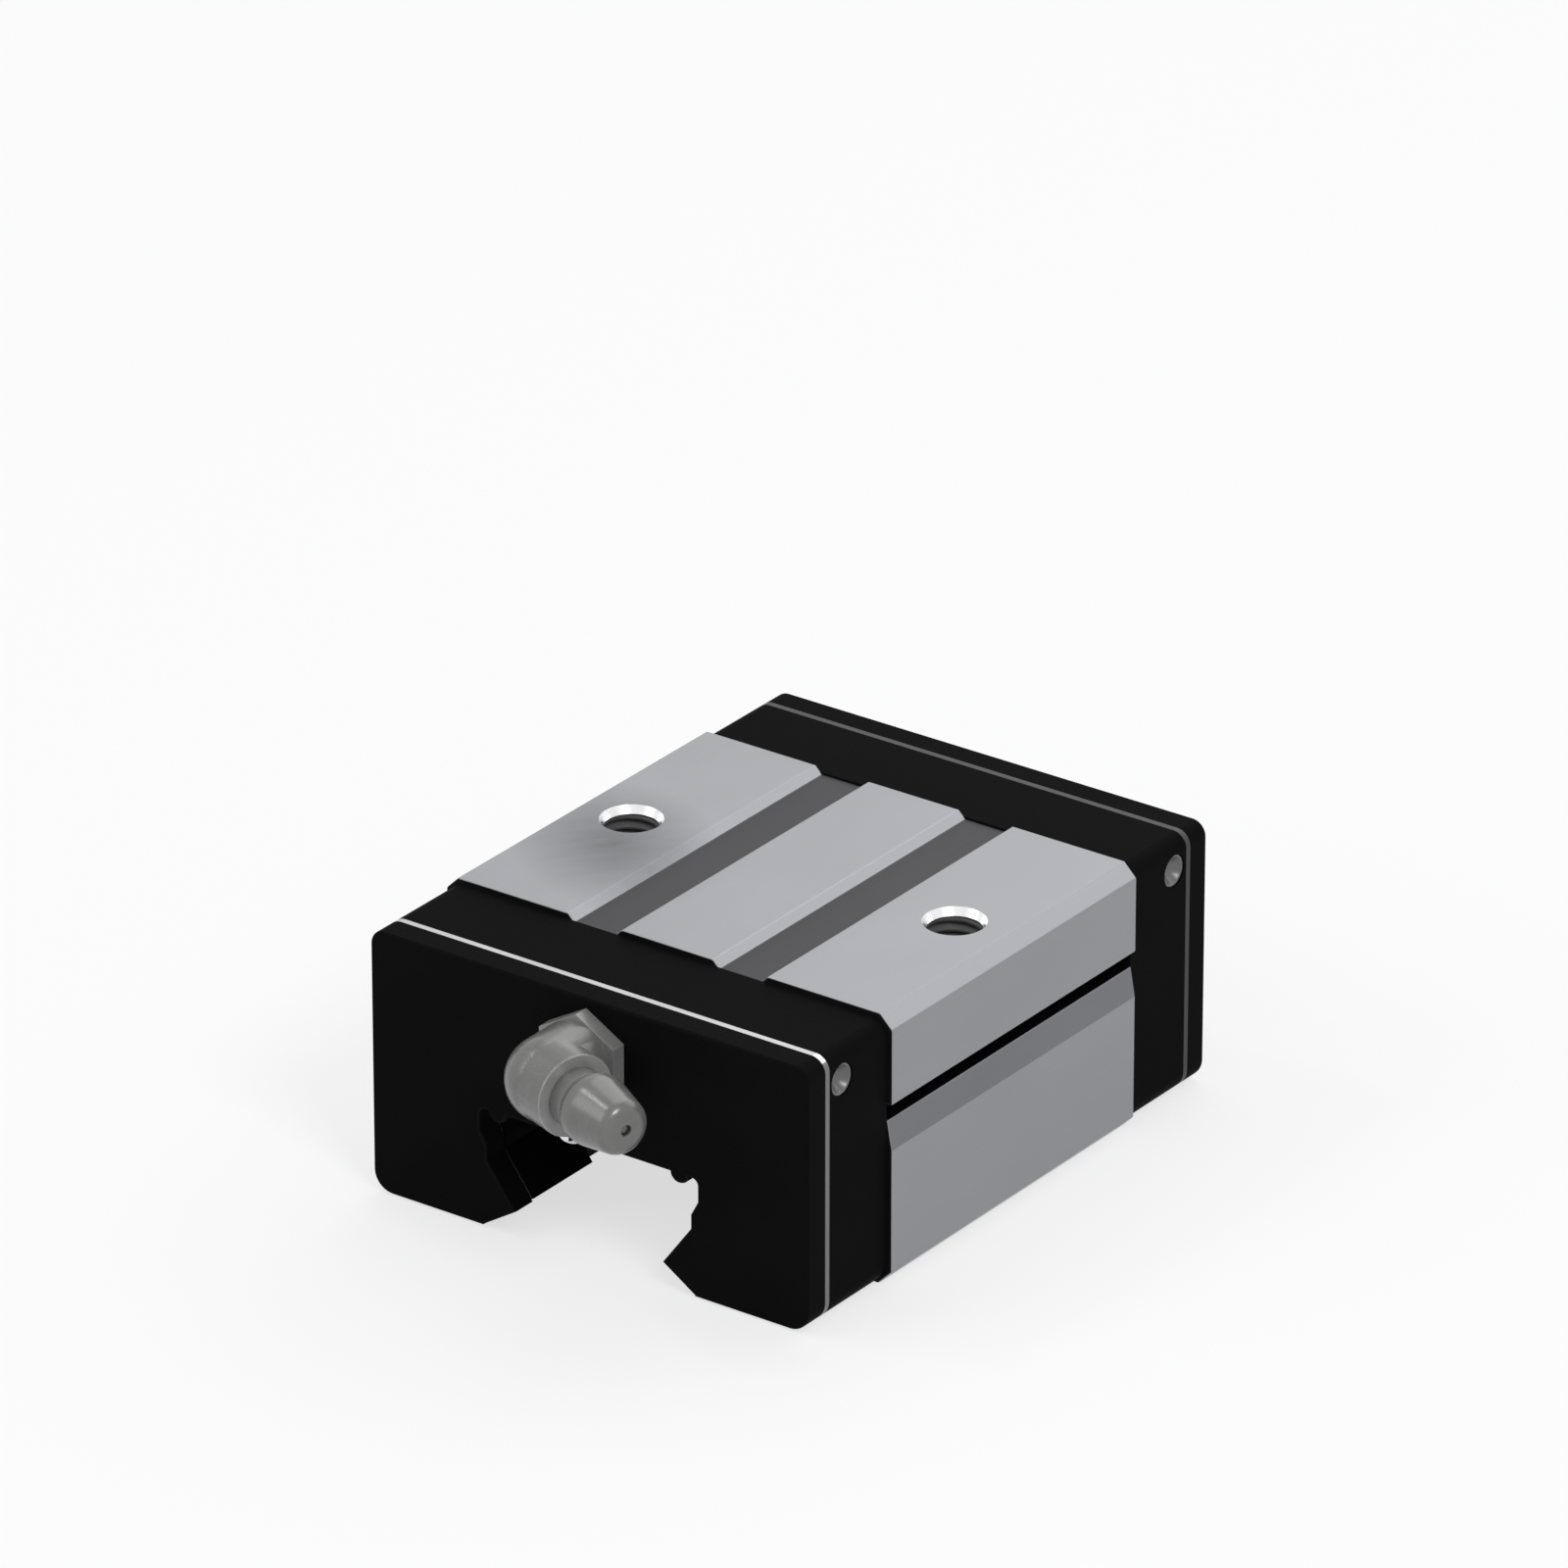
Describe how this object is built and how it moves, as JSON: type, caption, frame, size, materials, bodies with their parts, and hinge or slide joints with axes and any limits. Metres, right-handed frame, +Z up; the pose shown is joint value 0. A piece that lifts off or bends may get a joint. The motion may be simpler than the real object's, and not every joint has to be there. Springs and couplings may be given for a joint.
{
  "type": "linear guide block",
  "caption": "Short slim linear guide block: ground steel body with tapped holes in its top, black end caps, plates and seals, recirculating balls and an angled grease nipple.",
  "frame": {"origin": "centre of the top mounting face, midway between the two tapped holes", "axes": "+Z up out of the mounting face, +Y along the travel with the grease nipple at the -Y end, +X across the block"},
  "size_m": [0.048, 0.072, 0.0261],
  "materials": {
    "ground_steel": "ground, satin",
    "cap_plastic": "moulded, matt black",
    "plate_steel": "bright sheet",
    "seal_rubber": "moulded, matt black",
    "guide_plastic": "moulded, dark",
    "ball_steel": "polished",
    "screw_steel": "black oxide",
    "plug_steel": "zinc plated",
    "nipple_steel": "zinc plated, satin grey"
  },
  "bodies": {
    "block": {"block_body": "ground_steel", "front_end_cap": "cap_plastic", "rear_end_cap": "cap_plastic", "front_end_plate": "plate_steel", "rear_end_plate": "plate_steel", "front_end_seal": "seal_rubber", "rear_end_seal": "seal_rubber", "front_left_return_guide": "guide_plastic", "front_right_return_guide": "guide_plastic", "rear_left_return_guide": "guide_plastic", "rear_right_return_guide": "guide_plastic", "top_ball_retainer": "guide_plastic", "left_side_retainer": "guide_plastic", "right_side_retainer": "guide_plastic", "left_lower_retainer": "guide_plastic", "right_lower_retainer": "guide_plastic", "left_bottom_seal": "seal_rubber", "right_bottom_seal": "seal_rubber", "upper_left_balls": "ball_steel", "upper_right_balls": "ball_steel", "lower_left_balls": "ball_steel", "lower_right_balls": "ball_steel", "front_cap_screws": "screw_steel", "rear_cap_screws": "screw_steel", "front_left_port_plug": "plug_steel", "front_right_port_plug": "plug_steel", "rear_left_port_plug": "plug_steel", "rear_right_port_plug": "plug_steel", "rear_port_screw": "screw_steel", "nipple_body": "nipple_steel", "nipple_head": "nipple_steel", "nipple_spring": "ball_steel"},
    "check_ball": {"nipple_check_ball": "ball_steel"}
  },
  "joints": [
    {"name": "check_ball_slide", "type": "slide", "parent": "block", "child": "check_ball", "axis": [-0.9397, 0.342, 0], "range_m": [0, 0.0008], "stiffness_N_per_m": 150, "springref_m": -0.002, "deforming": ["nipple_spring"]}
  ]
}
